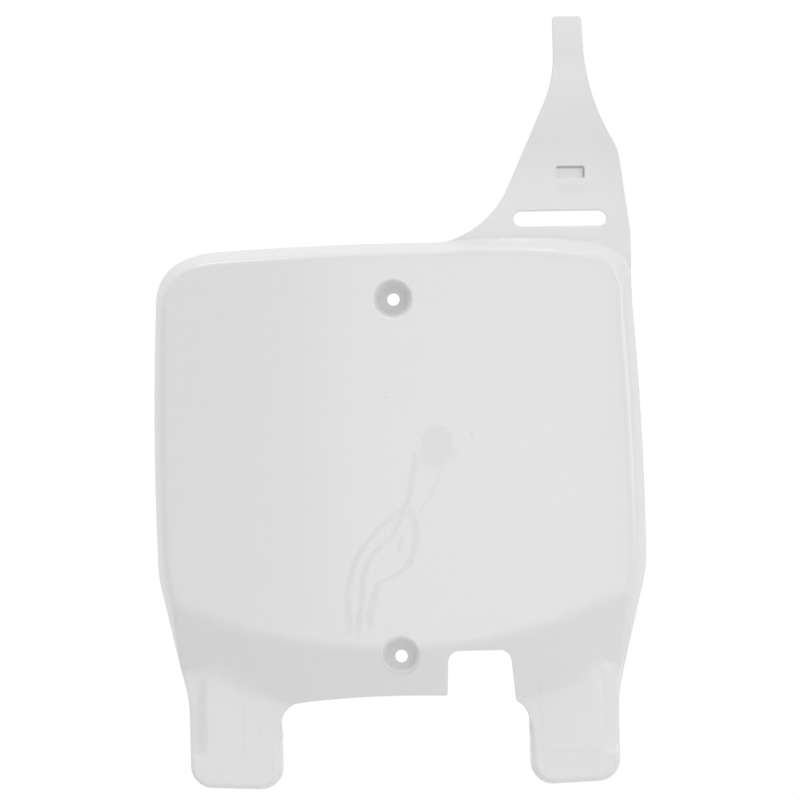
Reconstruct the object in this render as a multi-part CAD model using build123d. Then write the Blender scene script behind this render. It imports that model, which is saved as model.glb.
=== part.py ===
from build123d import *
import os
from math import asin, cos, radians, sin, sqrt

# Front number board of an off-road motorbike, moulded in one piece.
# Millimetres. +Z is up, +X is to the right of someone who looks at the numbers,
# and the number face looks along -Y. The origin is midway between the two bolt
# holes, on the plane where the backs of both bolt seats meet the bracket.

# Sheet
wall = 2.2

# Bolt seats: two dished recesses, one above the other, each with a flat floor
bolt_spacing = 186.0
bolt_hole = 6.6
seat_width = 13.0
dish_width = 20.0
dish_depth = 7.0
dish_lip = 1.2

# Number face: rolled about an upright axis, with a crowned top edge
face_radius = 840.0
face_edge_radius = 3.0
top_margin = 29.6
top_crown = 1000.0
top_corner_radius = 28.0

# Sides: half widths at the shoulders, how far they flare to the waist and taper to the ankle,
# and how far below the ankle they run on inside the feet
left_shoulder = 126.3
right_shoulder = 124.2
left_flare = 2.0
right_flare = 5.3
left_taper = 13.5
right_taper = 15.3
side_bow = 2000.0
waist_rise = 39.4
waist_radius = 70.0
ankle_fall = 18.6
ankle_run = 28.0

# Flange turned back round the face
flange_depth = 14.0
top_draft = 30.0
side_draft = 21.0

# Skirt: rolled more tightly than the face, and sloping back from a crease over the lower bolt
crease_margin = 3.6
crease_radius = 14.0
skirt_angle = 22.0
skirt_radius = 408.0
skirt_margin = 20.7
skirt_edge_arch = 480.0

# Feet: flat tongues in front of the fork legs, with a sloping outer flank and turned-back edges
foot_setback = 16.0
foot_depth = 10.0
foot_margin = 1.2
foot_width = 47.5
foot_length = 49.1
foot_edge_draft = 14.0
foot_edge_radius = 5.0
foot_flank_width = 10.0
foot_flank_tilt = 26.0
foot_flank_radius = 20.0
foot_toe_rise = 2.0
foot_corner_radius = 10.0
foot_root_radius = 3.8
gap_corner_radius = 11.0

# Hose notch in the skirt's lower edge, right of the middle
notch_margin = 5.8
notch_width = 36.7
notch_left_lean = 1.5
notch_right_lean = 3.2
notch_height = 23.0
notch_radius = 6.0

# Strap that wraps the handlebar: corners before rounding, with rises above the board's top
strap_root_x = 47.6
strap_root_radius = 49.0
strap_neck_x = 85.5
strap_neck_rise = 83.9
strap_neck_radius = 60.0
strap_tail = 34.7
strap_tip_width = 15.7
strap_tip_radius = 2.0
strap_neck_width = 17.5
strap_neck_step = 6.0
strap_neck_step_radius = 100.0
strap_shoulder_width = 17.4
strap_shoulder_fall = 30.0
strap_shoulder_radius = 30.0
strap_overhang = 1.5
strap_overhang_rise = 5.4
strap_overhang_radius = 60.0

# How far the strap stands forward, where along it that is furthest, and how its tip curls back
strap_lean = 9.0
strap_crest_share = 0.77
strap_tip_curl = 3.0
strap_stations = 7

# Slot that takes the strap's own tail
slot_length = 49.0
slot_width = 8.0
slot_x = 87.5
slot_rise = 12.0

# Shallow bare recess on the strap
recess_length = 15.0
recess_width = 6.5
recess_depth = 0.6
recess_corner = 1.2
recess_x = 93.2
recess_rise = 35.2

# Short locating ribs on the back of the face
rib_start = 66.0
rib_end = 96.0
rib_margin = 5.2
rib_thickness = 1.4
rib_depth = 5.0

# Room that cutting and clipping solids have beyond the part
reach = 400.0
overlap = 1.0


def sagitta(x, radius):
    """How far a rolled surface has curved back at a distance x from its middle."""
    return radius - sqrt(radius * radius - x * x)


# Heights and drops, laid out from the bolts
bolt_heights = (bolt_spacing / 2, -bolt_spacing / 2)
top_height = bolt_spacing / 2 + top_margin
crease_drop = bolt_spacing / 2 - crease_margin
skirt_edge_drop = bolt_spacing / 2 + skirt_margin
waist_drop = crease_drop - waist_rise
ankle_drop = crease_drop + ankle_fall
foot_drop = skirt_edge_drop + foot_length
hidden_drop = ankle_drop + ankle_run
rib_height = bolt_spacing / 2 - rib_margin
slot_height = top_height + slot_rise
recess_height = top_height + recess_rise
strap_bend = slot_height + slot_width
strap_tip = top_height + strap_neck_rise + strap_tail

# Half widths
left_waist = left_shoulder + left_flare
right_waist = right_shoulder + right_flare
left_ankle = left_waist - left_taper
right_ankle = right_waist - right_taper
foot_outer_half = min(left_ankle, right_ankle) - foot_margin
foot_inner_half = foot_outer_half - foot_width

# Depths
face_y = -(dish_depth + wall)
rim_y = face_y + flange_depth
side_rim_y = rim_y + sagitta(right_waist, face_radius)
foot_y = face_y + foot_setback
foot_rim_y = foot_y + foot_depth


def front_prism(sketch):
    """A front-view outline carried straight through the part."""
    return extrude(Plane.XZ * sketch, amount=reach, both=True)


def nearest_slanted_edge(block, point):
    """The edge running front to back that passes closest to a point."""
    slanted = ShapeList([edge for edge in block.edges() if abs((edge % 0.5).Y) > 0.2])
    return slanted.sort_by_distance(point)[0]


def draft_plane(start, end, draft, rim, inset):
    """The plane of a flange side that runs from start to end, both (x, z), at the rim.

    The outline is followed counter-clockwise as the viewer sees it, the plane
    spreads outwards towards the back by the draft angle, and inset moves it in.
    """
    along = Vector(end[0] - start[0], 0, end[1] - start[1]).normalized()
    spread = radians(draft)
    outward = Vector(along.Z * cos(spread), -sin(spread), -along.X * cos(spread))
    return Plane(origin=Vector(start[0], rim, start[1]) - outward * inset, z_dir=outward)


def drafted_block(sides, front, back, inset):
    """A block from front to back whose sides are draft planes."""
    block = Pos(0, (front + back) / 2, 0) * Box(2 * reach, back - front, 2 * reach)
    for side in sides:
        block = split(block, bisect_by=draft_plane(*side, inset), keep=Keep.BOTTOM)
    return block


def face_roll(depth):
    """Everything behind the rolled face, starting at a depth behind its surface."""
    return Pos(0, face_y + face_radius, 0) * Cylinder(face_radius - depth, 2 * reach)


def skirt_roll(inset):
    """Everything behind the rolled skirt, whose axis leans by the skirt's slope."""
    slope = radians(skirt_angle)
    axis = Plane(
        origin=(0, face_y + skirt_radius * cos(slope), -crease_drop + skirt_radius * sin(slope)),
        x_dir=(1, 0, 0),
        z_dir=(0, sin(slope), -cos(slope)),
    )
    return axis * Cylinder(skirt_radius - inset, 3 * reach)


def bowed_side(start, end, draft, rim, bow, inset):
    """Everything within a flange side that bows out between start and end.

    The side is a large cylinder that passes through both (x, z) points at the
    rim, and its axis leans by the draft.
    """
    middle = Vector((start[0] + end[0]) / 2, rim, (start[1] + end[1]) / 2)
    chord = Vector(end[0] - start[0], 0, end[1] - start[1])
    flat = draft_plane(start, end, draft, rim, 0)
    outward = flat.z_dir
    crest = middle + outward * sagitta(chord.length / 2, bow)
    axis = Plane(origin=crest - outward * bow, x_dir=chord, z_dir=chord.cross(outward))
    return axis * Cylinder(bow - inset, 2 * reach)


def hidden_half(waist, ankle):
    """Half width where a lower side, carried past the ankle, ends behind the foot."""
    slope = (waist - ankle) / (ankle_drop - waist_drop)
    return ankle - slope * (hidden_drop - ankle_drop)


def board_form(inset):
    """The solid behind the face, skirt and flange, moved in by inset."""
    left = (-left_shoulder, top_height - sagitta(left_shoulder, top_crown))
    left_turn = (-left_waist, -waist_drop)
    left_end = (-hidden_half(left_waist, left_ankle), -hidden_drop)
    right = (right_shoulder, top_height - sagitta(right_shoulder, top_crown))
    right_turn = (right_waist, -waist_drop)
    right_end = (hidden_half(right_waist, right_ankle), -hidden_drop)
    straight = (
        (left_turn, left_end, side_draft, side_rim_y),
        (left_end, right_end, 0, side_rim_y),
        (right_end, right_turn, side_draft, side_rim_y),
    )
    bowed = (
        (right_turn, right, side_draft, side_rim_y, side_bow),
        (right, left, top_draft, rim_y, top_crown),
        (left, left_turn, side_draft, side_rim_y, side_bow),
    )
    block = drafted_block(straight, face_y - flange_depth, foot_rim_y + flange_depth, inset)
    for side in bowed:
        block = block & bowed_side(*side, inset)
    rounds = (
        (left, top_corner_radius),
        (right, top_corner_radius),
        (left_turn, waist_radius),
        (right_turn, waist_radius),
    )
    for (x, z), radius in rounds:
        edge = nearest_slanted_edge(block, (x, side_rim_y, z))
        block = fillet(edge, radius - inset)
    form = block & face_roll(inset) & skirt_roll(inset)
    crease = form.edges().sort_by_distance((0, face_y + inset, -crease_drop))[0]
    form = fillet(crease, crease_radius - inset)
    return fillet(border_edges(form, inset), face_edge_radius - inset)


def border_edges(form, inset):
    """The edges where the face and the skirt meet the flange."""
    rolls = (face_radius - inset, skirt_radius - inset)
    border = ShapeList()
    for face in form.faces().filter_by(GeomType.CYLINDER):
        if min(abs(face.radius - roll) for roll in rolls) > wall / 2:
            continue
        for edge in face.edges():
            middle = edge @ 0.5
            at_flange = abs(middle.X) > right_waist / 2 or middle.Z > bolt_spacing / 2
            in_front = middle.Y < foot_rim_y + flange_depth - overlap
            if at_flange and in_front and middle.Z > -hidden_drop + overlap:
                border.append(edge)
    return border


def foot_form(inset):
    """The solid behind the right foot's front, moved in by inset."""
    inner = foot_inner_half - overlap
    outer = foot_outer_half
    head = -crease_drop + crease_radius
    toe = -foot_drop
    outer_toe = toe + foot_toe_rise
    sides = [
        ((inner, head), (inner, toe), foot_edge_draft, foot_rim_y),
        ((inner, toe), (outer, outer_toe), foot_edge_draft, foot_rim_y),
        ((outer, outer_toe), (outer, head), foot_edge_draft, foot_rim_y),
        ((outer, head), (inner, head), 0, foot_rim_y),
    ]
    block = drafted_block(sides, foot_y + inset, foot_rim_y + foot_depth, inset)
    for corner in ((inner, toe), (outer, outer_toe)):
        edge = nearest_slanted_edge(block, (corner[0], foot_rim_y, corner[1]))
        block = fillet(edge, foot_corner_radius - inset)
    tilt = radians(foot_flank_tilt)
    slope = Vector(sin(tilt), -cos(tilt), 0)
    bend = Vector(outer - foot_flank_width, foot_y, toe / 2 + head / 2)
    block = split(block, bisect_by=Plane(origin=bend - slope * inset, z_dir=slope), keep=Keep.BOTTOM)
    ridge = block.edges().filter_by(Axis.Z).sort_by_distance(bend)[0]
    block = fillet(ridge, foot_flank_radius - inset)
    return fillet(foot_border(block, head), foot_edge_radius - inset)


def foot_border(block, head):
    """The edges round a foot's front, where its turned-back edges begin."""
    border = ShapeList()
    for face in block.faces():
        if abs(face.normal_at().Y) > 0.5:
            continue
        for edge in face.edges():
            box = edge.bounding_box()
            if box.max.Y < foot_rim_y and box.min.Z < head - overlap:
                border.append(edge)
    return border


def root_edges(form):
    """The valley edges where the feet grow out of the skirt."""
    roots = ShapeList()
    for edge in form.edges():
        middle = edge @ 0.5
        curved = edge.geom_type in (GeomType.ELLIPSE, GeomType.BSPLINE)
        across_foot = foot_inner_half < abs(middle.X) < foot_outer_half - overlap
        in_front = foot_y - overlap < middle.Y < foot_rim_y
        if curved and across_foot and in_front and -hidden_drop < middle.Z < -waist_drop:
            roots.append(edge)
    return roots


def dish(inset):
    """A bolt seat's recess: a flat floor and a funnel that widens to the face."""
    floor_radius = seat_width / 2 + inset
    funnel = (dish_width - seat_width) / 2 / dish_depth
    floor_y = -wall + inset
    mouth_y = face_y - flange_depth
    mouth_radius = floor_radius + (floor_y - mouth_y) * funnel
    profile = Polygon(
        (0, floor_y), (floor_radius, floor_y), (mouth_radius, mouth_y), (0, mouth_y), align=None
    )
    return revolve(profile, Axis.Y)


def lip_edges(form):
    """The edges where the dishes open into the face and the skirt."""
    lips = ShapeList()
    for face in form.faces().filter_by(GeomType.CONE):
        for edge in face.edges():
            middle = edge @ 0.5
            at_mouth = abs(middle.X) < dish_width and middle.Y < -wall - dish_lip / 2
            if at_mouth and edge.geom_type != GeomType.LINE:
                lips.append(edge)
    return lips


def whole_form(inset, root_radius):
    """Face, skirt, flange and both feet as one solid, moved in by inset."""
    foot = foot_form(inset)
    form = board_form(inset) + foot + mirror(foot, Plane.YZ)
    form = fillet(root_edges(form), root_radius)
    for height in bolt_heights:
        form = form - Pos(0, 0, height) * dish(inset)
    return form


def rim_clip():
    """Everything behind the flange's rim and behind the rims of the feet."""
    profile = Polygon(
        (-reach, reach),
        (reach, reach),
        (reach, -reach),
        (foot_rim_y, -reach),
        (foot_rim_y, -skirt_edge_drop),
        (side_rim_y, -waist_drop),
        (-reach, -waist_drop),
        align=None,
    )
    behind_profile = extrude(Plane.YZ * profile, amount=reach, both=True)
    return face_roll(flange_depth) & behind_profile


def strap_forward(height):
    """How far the strap stands forward of the rim at a height.

    It starts at the bend, eases out to the full lean at the crest, and curls
    back with the square of the distance from there to the tip.
    """
    along = (height - strap_bend) / (strap_tip - strap_bend)
    climb = min(along / strap_crest_share, 1)
    fall = max(along - strap_crest_share, 0) / (1 - strap_crest_share)
    return strap_lean * climb * climb * (3 - 2 * climb) - strap_tip_curl * fall * fall


def strap_strip(height):
    """One level of the strap: a strip of the rim's own curve, standing forward."""
    centre = Pos(0, face_y + face_radius - strap_forward(max(height, strap_bend)))
    ring = Circle(face_radius - flange_depth + wall) - Circle(face_radius - flange_depth)
    window = Pos(right_waist / 2, 0) * Rectangle(right_waist + 2 * flange_depth, reach)
    return Plane.XY.offset(height) * (centre * ring & window)


def strap_sheet():
    """The strap's sheet before its outline is cut.

    The root stands straight up from the rim. Above the slot the sheet leans
    forward towards the neck, and the tip curls back again.
    """
    root = top_height - 2 * flange_depth
    spacing = (strap_tip + overlap - strap_bend) / (strap_stations - 1)
    heights = [strap_bend + spacing * station for station in range(strap_stations)]
    upright = extrude(strap_strip(root), amount=strap_bend - root, dir=(0, 0, 1))
    leaning = loft([strap_strip(height) for height in heights])
    return upright + leaning


def strap_outline():
    """The strap's front view, with each corner rounded by its own radius."""
    hidden = top_height - 2 * flange_depth
    root = (strap_root_x, top_height)
    neck = (strap_neck_x, top_height + strap_neck_rise)
    tip_left = (strap_neck_x, strap_tip)
    tip_right = (strap_neck_x + strap_tip_width, strap_tip)
    neck_right = (strap_neck_x + strap_neck_width, neck[1] - strap_neck_step)
    shoulder = (neck_right[0] + strap_shoulder_width, neck_right[1] - strap_shoulder_fall)
    overhang = (right_shoulder + strap_overhang, top_height + strap_overhang_rise)
    outline = Polyline(
        (-flange_depth, hidden),
        (-flange_depth, top_height - wall),
        root,
        neck,
        tip_left,
        tip_right,
        neck_right,
        shoulder,
        overhang,
        (overhang[0], hidden),
        close=True,
    )
    face = make_face(outline)
    rounds = (
        (root, strap_root_radius),
        (neck, strap_neck_radius),
        (tip_left, strap_tip_radius),
        (tip_right, strap_tip_radius),
        (neck_right, strap_neck_step_radius),
        (shoulder, strap_shoulder_radius),
        (overhang, strap_overhang_radius),
    )
    for point, radius in rounds:
        face = fillet(face.vertices().sort_by_distance(point)[0], radius)
    return face


def strap_recess():
    """The shallow pocket, square to the strap's curve and open at the front."""
    turn = asin(recess_x / face_radius)
    front_y = rim_y - wall + sagitta(recess_x, face_radius) - strap_forward(recess_height)
    floor = Plane(
        origin=Vector(recess_x, front_y, recess_height) - Vector(sin(turn), -cos(turn), 0) * recess_depth,
        x_dir=(cos(turn), sin(turn), 0),
        z_dir=(sin(turn), -cos(turn), 0),
    )
    pocket = RectangleRounded(recess_length, recess_width, recess_corner)
    return extrude(floor * pocket, amount=wall + recess_depth)


def strap():
    """The strap with its slot and its shallow recess."""
    sheet = strap_sheet() & front_prism(strap_outline())
    slot = Pos(slot_x, slot_height) * SlotOverall(slot_length, slot_width)
    return sheet - front_prism(slot) - strap_recess()


def foot_gap():
    """The open space between the feet, below the skirt's arched edge."""
    side_drop = skirt_edge_drop + sagitta(foot_inner_half, skirt_edge_arch)
    left = (-foot_inner_half, -side_drop)
    right = (foot_inner_half, -side_drop)
    arch = ThreePointArc(left, (0, -skirt_edge_drop), right)
    walls = Polyline(right, (foot_inner_half, -reach), (-foot_inner_half, -reach), left)
    gap = make_face(arch + walls)
    corners = gap.vertices().group_by(Axis.Y)[-1]
    return front_prism(fillet(corners, gap_corner_radius))


def hose_notch():
    """The cut-out in the skirt's edge that lets a hose or cable pass."""
    top = -skirt_edge_drop + notch_height
    bottom = -skirt_edge_drop - gap_corner_radius
    right = foot_inner_half - notch_margin
    left = right - notch_width
    notch = Polygon(
        (left, bottom),
        (right, bottom),
        (right - notch_right_lean, top),
        (left + notch_left_lean, top),
        align=None,
    )
    corners = notch.vertices().group_by(Axis.Y)[-1]
    return front_prism(fillet(corners, notch_radius))


def locating_rib():
    """A short rib on the back of the face, rooted in the sheet."""
    middle = (rib_start + rib_end) / 2
    back = face_y + wall + sagitta(middle, face_radius) + rib_depth
    bar = Pos(middle, back - flange_depth / 2, rib_height) * Box(
        rib_end - rib_start, flange_depth, rib_thickness
    )
    return bar & face_roll(wall / 2)


def number_board():
    """The finished moulding."""
    outside = whole_form(0, foot_root_radius)
    outside = fillet(lip_edges(outside), dish_lip)
    hollow = whole_form(wall, foot_root_radius + wall)
    board = outside - rim_clip() + strap() - hollow
    for cutter in (foot_gap(), hose_notch()):
        board = board - cutter
    for height in bolt_heights:
        bore = Pos(0, 0, height) * Rot(90, 0, 0) * Cylinder(bolt_hole / 2, 2 * flange_depth)
        board = board - bore
    rib = locating_rib()
    return board + rib + mirror(rib, Plane.YZ)


os.makedirs("parts", exist_ok=True)
board = number_board()
box = board.bounding_box()
print(f"number_board: {len(board.solids())} solid, {board.volume / 1000:.1f} cm3")
print(f"size {box.size.X:.1f} x {box.size.Y:.1f} x {box.size.Z:.1f} mm")
export_step(board, "parts/number_board.step")
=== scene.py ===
# %% [markdown]
# # A racing number board
#
# The object is the front number board of an off-road motorbike: one white
# moulding with a rolled number face, a flange turned back round it, a skirt, two
# feet, two dished bolt seats and a strap with a slot. This lesson builds the
# board as one surface that numpy works out, gives it the finish of moulded
# polypropylene, and sets it in plain studio light.
#
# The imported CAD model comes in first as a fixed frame. Everything after it uses
# the same axes: +Z is up, +X is to the right, and the number face looks along -Y.

# %% Load the frame
from math import cos, pi, radians, sin, tan

import bpy
import numpy as np
from mathutils import Matrix, Vector
from mathutils.geometry import delaunay_2d_cdt


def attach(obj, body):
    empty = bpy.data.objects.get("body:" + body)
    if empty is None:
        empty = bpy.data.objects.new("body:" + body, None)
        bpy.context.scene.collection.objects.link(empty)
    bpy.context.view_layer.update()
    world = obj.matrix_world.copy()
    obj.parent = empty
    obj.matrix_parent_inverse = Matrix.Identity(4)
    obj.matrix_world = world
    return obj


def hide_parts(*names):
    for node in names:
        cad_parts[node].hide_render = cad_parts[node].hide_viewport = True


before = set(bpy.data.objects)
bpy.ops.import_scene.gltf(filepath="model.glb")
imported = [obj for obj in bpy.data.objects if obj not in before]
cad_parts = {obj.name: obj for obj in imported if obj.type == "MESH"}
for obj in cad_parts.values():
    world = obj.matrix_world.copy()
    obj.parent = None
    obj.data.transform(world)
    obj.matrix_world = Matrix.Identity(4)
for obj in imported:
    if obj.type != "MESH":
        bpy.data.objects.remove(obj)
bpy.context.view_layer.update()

# %% [markdown]
# ## Sizes that the pieces share
#
# A moulding has one wall everywhere, because the melt cools evenly only in an
# even wall. Blender counts in metres, but a moulder thinks in millimetres, so all
# sizes are in millimetres, and one factor turns the finished points into metres.
# Most sizes are those of the CAD model. A few edges are crisper or softer here,
# since light shows an edge more than a solid needs it. A depth is a place along
# Y, and a drop is a distance below the middle between the bolt holes.

# %% Sizes that the pieces share
MM = 0.001
wall = 2.2
face_y, face_radius = -9.2, 840.0
rim_y, side_rim_y, flange_depth = 4.8, 14.84, 14.0
foot_y, foot_rim_y = 6.8, 16.8
waist_drop, crease_drop, skirt_edge_drop = 50.0, 89.4, 113.7
print("wall", wall, "mm, flange", flange_depth, "mm deep")

# %% [markdown]
# ## A surface that knows its own slope
#
# Seen along the mould's pull, which is the Y axis, the board never doubles back,
# so its front is one depth for every (x, z). A sculpted plane could follow that
# form too, but its edges would only be as good as the hand. Here each depth is
# worked out three times: at the point, a hair to the right and a hair higher. The
# differences are the slopes, and with them a ball can be rolled along any edge
# between two surfaces, which is how a mould's rounded edges come about.

# %% Stacked points and slopes
HAIR = 0.001


def stacked(x, z):
    """Each point three times: as it is, a hair to the right, and a hair higher."""
    return np.array([x, x + HAIR, x]), np.array([z, z, z + HAIR])


def slopes(depth):
    """Change of a stacked depth per millimetre to the right and per millimetre upwards."""
    return (depth[1] - depth[0]) / HAIR, (depth[2] - depth[0]) / HAIR


def roll(x, radius):
    """Depth of a rolled sheet at x: radius minus the root of radius squared less x squared."""
    return radius - np.sqrt(radius * radius - x * x)


def ease(t):
    """A smooth step: 3 t squared less 2 t cubed, with t held between 0 and 1."""
    t = np.clip(t, 0, 1)
    return t * t * (3 - 2 * t)


def ramp(value, start, run):
    """A smooth step from 0 at start to 1 a run further on; a negative run rises the other way."""
    return ease((value - start) / run)


probe = slopes(roll(stacked(np.array([100.0]), np.zeros(1))[0], face_radius))
print("the face's slope at x 100:", probe[0].round(3))

# %% Rolled edges and valleys
PARALLEL = 1 - 1e-7


def rolled_edge(a, b, radius):
    """The deeper of two surfaces, with a ball rolled along the edge where they cross.

    A point at depth y lies y - a times the cosine of a's slope behind surface a.
    What is left from there to the ball's centre is p along a's normal and q along
    b's, and c is the cosine between the normals. The point lies on the ball when
    p squared plus q squared less 2 c p q is the radius squared times 1 less c
    squared. That is a quadratic in y, and the nearer root is the rounded edge.
    """
    (ax, az), (bx, bz) = slopes(a), slopes(b)
    sa = 1 / np.sqrt(1 + ax * ax + az * az)
    sb = 1 / np.sqrt(1 + bx * bx + bz * bz)
    c = np.clip((1 + ax * bx + az * bz) * sa * sb, -1, PARALLEL)
    p, q = radius + sa * a, radius + sb * b
    square = sa * sa + sb * sb - 2 * c * sa * sb
    linear = p * sa + q * sb - c * (p * sb + q * sa)
    rest = p * p + q * q - 2 * c * p * q - radius * radius * (1 - c * c)
    room = linear * linear - square * rest
    y = (linear - np.sqrt(np.maximum(room, 0))) / square
    p, q = p - sa * y, q - sb * y
    return np.where((room > 0) & (p > c * q) & (q > c * p), y, np.maximum(a, b))


def rolled_valley(a, b, radius):
    """The nearer of two surfaces, with the ball rolled in the valley between them."""
    return -rolled_edge(-a, -b, radius)


probe = stacked(np.zeros(1), np.zeros(1))[0]
print("a square edge loses", rolled_edge(probe, -probe, 1.0)[0].round(3), "of the ball's radius")

# %% [markdown]
# ## Face, skirt and flange
#
# The number face is part of an upright cylinder. The skirt is part of a tighter
# one whose axis leans, so it slopes back below a soft crease. The flange is a
# drafted wall on each side, bowed a little, that ends at the rim. A slanted wall
# rounds the upper left corner, and beside the strap the top edge and the right
# corner sit slightly further out. A bent and bevelled plane would give one width
# for all edges. Rolled depths give each edge its own: tight along the top, where
# the light draws a line, and softer down the sides.

# %% Sizes of the board
crease_radius, skirt_angle, skirt_radius = 14.0, 22.0, 408.0
side_bow, side_draft, waist_radius = 2000.0, 21.0, 70.0
top_crown, top_draft, top_corner_radius, straight = 1130.0, 26.5, 28.0, 1e6
top_edge_radius, side_edge_radius, least_edge_radius = 2.8, 7.0, 0.6
side_edge_ramp = (105.0, -30.0)
hidden_drop = 136.0
left_shoulder, right_shoulder = (-126.3, 115.7), (124.2, 115.6)
left_waist, right_waist = (-128.3, -waist_drop), (129.5, -waist_drop)
left_end, right_end = (-108.3, -hidden_drop), (106.8, -hidden_drop)
slant_start, slant_end, slant_radius = (-97.1, 120.4), (-128.1, 107.0), 60.0
corner_reach, corner_ramp_x, corner_ramp_z = 2.4, (60.0, 40.0), (88.0, 24.0)
top_rise, top_rise_ramp = 1.8, (22.0, 26.0)
top_fall_share, top_fall_ramp = 0.6, (80.0, 25.0)
print("waist", round(right_waist[0] - left_waist[0], 1), "mm wide")

# %% A drafted wall
def flange_side(x, z, start, end, draft, rim, bow, inset):
    """Depth of a drafted wall that meets the rim along a bowed line from start to end.

    The distance outside the line, plus the bow's own roll, divided by the sine
    of the draft, is how far behind the rim's depth the wall has come.
    """
    length = np.hypot(end[0] - start[0], end[1] - start[1])
    ax, az = (end[0] - start[0]) / length, (end[1] - start[1]) / length
    dx, dz = x - (start[0] + end[0]) / 2, z - (start[1] + end[1]) / 2
    outside = (dx * az - dz * ax) * cos(radians(draft))
    bowed = roll(dx * ax + dz * az, bow) - roll(length / 2, bow)
    return rim + (outside + bowed + inset) / sin(radians(draft))


probe = flange_side(0.0, 120.0, right_shoulder, left_shoulder, top_draft, rim_y, top_crown, 0)
print("top flange at z 120:", round(float(probe), 2))

# %% Depth of face and skirt
def front_depth(x, z, inset):
    """Depth of the face's cylinder and the skirt's leaning one, with the crease rolled between them."""
    face = face_y + inset + roll(x, face_radius - inset)
    lean = radians(skirt_angle)
    axis_y = face_y + skirt_radius * cos(lean)
    axis_z = -crease_drop + skirt_radius * sin(lean)
    reach = np.sqrt((skirt_radius - inset) ** 2 - x * x)
    skirt = axis_y - (reach + (z - axis_z) * sin(lean)) / cos(lean)
    return rolled_edge(face, skirt, crease_radius - inset)


probe = front_depth(*stacked(np.zeros(2), np.array([-80.0, -110.0])), 0)[0]
print("above and below the crease:", probe.round(2))

# %% Depth of the flange and the board
def side_walls(x, z, inset):
    """Depths of the left and right flange, each with its waist rolled between two drafted walls."""
    shift = corner_reach * ramp(x, *corner_ramp_x) * ramp(z, *corner_ramp_z)
    sides = []
    for upper, lower in (
        ((left_shoulder, left_waist), (left_waist, left_end)),
        ((right_waist, right_shoulder), (right_end, right_waist)),
    ):
        above = flange_side(x - shift, z, *upper, side_draft, side_rim_y, side_bow, inset)
        below = flange_side(x, z, *lower, side_draft, side_rim_y, straight, inset)
        sides.append(rolled_edge(above, below, waist_radius - inset))
    return sides


def board_depth(x, z, inset):
    """Depth of face, skirt and flange, moved in by inset; every edge's ball shrinks by the inset."""
    rise = top_rise * ramp(x, *top_rise_ramp) * (1 - top_fall_share * ramp(x, *top_fall_ramp))
    top = (top_draft, rim_y)
    flange = flange_side(x, z - rise, right_shoulder, left_shoulder, *top, top_crown, inset)
    slant = flange_side(x, z, slant_start, slant_end, *top, straight, inset)
    flange = rolled_edge(flange, slant, slant_radius - inset)
    for side in side_walls(x, z, inset):
        flange = rolled_edge(flange, side, top_corner_radius - inset)
    softer = (side_edge_radius - top_edge_radius) * ramp(z, *side_edge_ramp)
    edge_radius = np.maximum(top_edge_radius + softer - inset, least_edge_radius)
    return rolled_edge(front_depth(x, z, inset), flange, edge_radius)


def rim_depth(x, z):
    """Depth of the rim: the face's own roll, and below the waist a line back to the feet."""
    level = rim_y + roll(x, face_radius - flange_depth)
    lower = np.interp(-z, [waist_drop, skirt_edge_drop], [side_rim_y, foot_rim_y])
    return np.where(z < -waist_drop, np.maximum(level, lower), level)


probe = board_depth(*stacked(np.array([0.0, 60.0, 120.0]), np.zeros(3)), 0)[0]
print("face depth at x 0, 60 and 120:", probe.round(2))

# %% [markdown]
# ## Feet
#
# The feet stand in front of the fork legs. Each has a flat pad, a flank that
# slopes back on the outside and ends above the toe, and steep drafted edges. The
# outer edge spreads upwards, and the outer head sinks back into the skirt. A
# modelled box with bevels could do it, but the place where a foot runs into the
# skirt would need hand work. As a depth, the foot is simply the nearer surface,
# with a rolled valley round it.

# %% Depth of the feet
left_inner, right_inner, foot_outer = 63.9, 65.7, 113.0
foot_drop, toe_rise = 162.8, 2.0
foot_edge_draft, foot_edge_radius, least_foot_edge, foot_corner_radius = 7.0, 2.6, 1.4, 12.0
flank_width, flank_tilt, flank_radius, flank_ramp = 9.0, 13.0, 14.0, (-145.5, 4.0)
spread, spread_from, spread_bend = 0.12, -115.5, 6.0
head_sink, head_ramp_x, head_ramp_z = 6.0, (97.0, 18.0), (-117.0, 32.0)
open_ramp_x, open_ramp_z = (85.0, -6.0), (-142.0, 16.0)


def foot_edges(x, z, inset):
    """Depth of a foot's inner edge, toe and outer edge, with both toe corners rolled.

    The outer edge moves out by the spread times a sum of two lengths: the height
    above its start, and the root of that height squared plus the bend squared.
    """
    side, toe = np.abs(x), -foot_drop
    inner_shift = np.where(x < 0, right_inner - left_inner, 0)
    above = z - spread_from
    outer_shift = -spread * (above + np.hypot(above, spread_bend))
    inner_top, inner_toe = (right_inner, -crease_drop), (right_inner, toe)
    outer_top, outer_toe = (foot_outer, -crease_drop), (foot_outer, toe + toe_rise)
    draft = (foot_edge_draft, foot_rim_y, straight, inset)
    inner_edge = flange_side(side + inner_shift, z, inner_top, inner_toe, *draft)
    toe_edge = flange_side(side, z, inner_toe, outer_toe, *draft)
    outer_edge = flange_side(side + outer_shift, z, outer_toe, outer_top, *draft)
    edges = rolled_edge(inner_edge, toe_edge, foot_corner_radius - inset)
    return rolled_edge(edges, outer_edge, foot_corner_radius - inset)


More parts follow.
